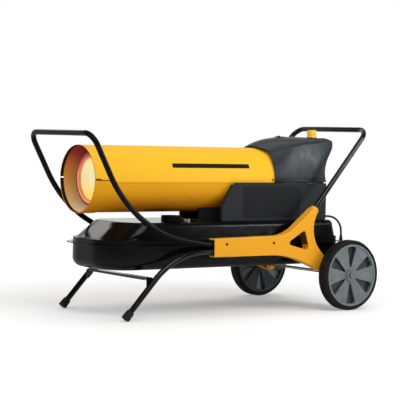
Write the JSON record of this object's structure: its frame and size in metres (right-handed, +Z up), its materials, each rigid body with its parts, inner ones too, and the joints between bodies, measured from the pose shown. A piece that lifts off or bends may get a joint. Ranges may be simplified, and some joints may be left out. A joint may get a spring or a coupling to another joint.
{
  "type": "forced air heater",
  "caption": "Portable forced air heater: round barrel on a fuel tank, hooded rear with fan and pump, tube handles and legs, side brackets and two wheels.",
  "frame": {"origin": "on the floor, under the middle of the heater's bounding box", "axes": "+Z up, +Y towards the wheels and the rear handle, -Y towards the hot nozzle, +X to the side of the fuel cap and the knob"},
  "size_m": [0.5806, 1.2096, 0.6645],
  "materials": {
    "shell_paint": "gloss",
    "lower_shell_paint": "gloss",
    "chamber_steel": "heat tinted",
    "bright_steel": "satin",
    "brass_fitting": "satin",
    "ceramic": "glazed",
    "black_plastic": "fine texture",
    "fan_aluminium": "satin",
    "motor_paint": "satin",
    "zinc_plate": "zinc plated",
    "pump_casting": "cast",
    "gauge_chrome": "polished",
    "cover_paint": "satin",
    "hood_plastic": "fine texture",
    "black_wire": "satin",
    "pipe_metal": "drawn",
    "tank_paint": "gloss",
    "cap_plastic": "moulded",
    "clear_lens": "clear",
    "red_plastic": "moulded",
    "tube_paint": "gloss",
    "black_rubber": "matte",
    "bracket_plastic": "moulded",
    "hub_plastic": "moulded",
    "tyre_rubber": "moulded",
    "knob_plastic": "moulded",
    "switch_plastic": "moulded",
    "cord_rubber": "matte"
  },
  "bodies": {
    "frame": {"upper_shell": "shell_paint", "lower_shell": "lower_shell_paint", "combustion_chamber": "chamber_steel", "chamber_brackets": "bright_steel", "flame_baffle": "chamber_steel", "burner_head": "chamber_steel", "fuel_nozzle": "brass_fitting", "igniter": "ceramic", "photocell": "black_plastic", "motor": "motor_paint", "motor_bracket": "zinc_plate", "pump_body": "pump_casting", "filter_cover": "black_plastic", "pressure_gauge": "gauge_chrome", "fan_shroud": "zinc_plate", "barrel_support": "zinc_plate", "side_cover_right": "cover_paint", "side_cover_left": "cover_paint", "hood": "hood_plastic", "rear_panel": "cover_paint", "intake_guard": "black_wire", "ignition_box": "black_plastic", "fuel_line": "pipe_metal", "air_line": "pipe_metal", "fuel_tank_upper": "tank_paint", "fuel_tank_lower": "tank_paint", "drain_plug": "bright_steel", "fuel_gauge": "gauge_chrome", "gauge_lens": "clear_lens", "fuel_pickup": "pipe_metal", "front_handle": "tube_paint", "rear_handle": "tube_paint", "leg_right": "tube_paint", "leg_left": "tube_paint", "feet": "black_rubber", "cross_brace": "tube_paint", "bracket_right": "bracket_plastic", "bracket_left": "bracket_plastic", "bracket_screws": "bright_steel", "axle": "bright_steel", "axle_spacers": "black_plastic", "axle_caps": "bright_steel", "thermostat": "black_plastic", "switch_bezel": "black_plastic", "cord_gland": "black_rubber", "power_cord": "cord_rubber", "plug": "cord_rubber"},
    "wheel_right": {"hub_right": "hub_plastic", "tyre_right": "tyre_rubber"},
    "wheel_left": {"hub_left": "hub_plastic", "tyre_left": "tyre_rubber"},
    "rotor": {"fan": "fan_aluminium", "motor_shaft": "bright_steel", "pump_rotor": "bright_steel"},
    "knob": {"thermostat_knob": "knob_plastic"},
    "rocker": {"power_switch": "switch_plastic"},
    "cap_seat": {"cap_liner": "black_rubber"},
    "cap_ring": {"fuel_cap": "cap_plastic"},
    "float": {"fuel_float": "black_plastic"},
    "pointer": {"gauge_pointer": "red_plastic"}
  },
  "joints": [
    {"name": "wheel_right_spin", "type": "hinge", "parent": "frame", "child": "wheel_right", "pos_m": [0, 0.467, 0.127], "axis": [1, 0, 0], "continuous": true},
    {"name": "wheel_left_spin", "type": "hinge", "parent": "frame", "child": "wheel_left", "pos_m": [0, 0.467, 0.127], "axis": [1, 0, 0], "continuous": true},
    {"name": "rotor_spin", "type": "hinge", "parent": "frame", "child": "rotor", "pos_m": [0, 0.086, 0.4636], "axis": [0, 1, 0], "continuous": true},
    {"name": "knob_turn", "type": "hinge", "parent": "frame", "child": "knob", "pos_m": [0.07, 0.44, 0.6225], "axis": [0, 0, 1], "range_deg": [0, 270]},
    {"name": "switch_rock", "type": "hinge", "parent": "frame", "child": "rocker", "pos_m": [0, 0.345, 0.6168], "axis": [1, 0, 0], "range_deg": [0, 14]},
    {"name": "cap_lift", "type": "slide", "parent": "frame", "child": "cap_seat", "axis": [0, 0, 1], "range_m": [0, 0.022]},
    {"name": "cap_turn", "type": "hinge", "parent": "cap_seat", "child": "cap_ring", "pos_m": [0.11, -0.212, 0.332], "axis": [0, 0, 1], "continuous": true},
    {"name": "float_slide", "type": "slide", "parent": "frame", "child": "float", "axis": [0, 0, 1], "range_m": [-0.09, 0]},
    {"name": "pointer_turn", "type": "hinge", "parent": "frame", "child": "pointer", "pos_m": [0.104, -0.151, 0.3223], "axis": [0, 0, 1], "range_deg": [-270, 0]}
  ],
  "couplings": [
    {"joint": "pointer_turn", "follows": "float_slide", "rad_per_m": 52.3}
  ]
}
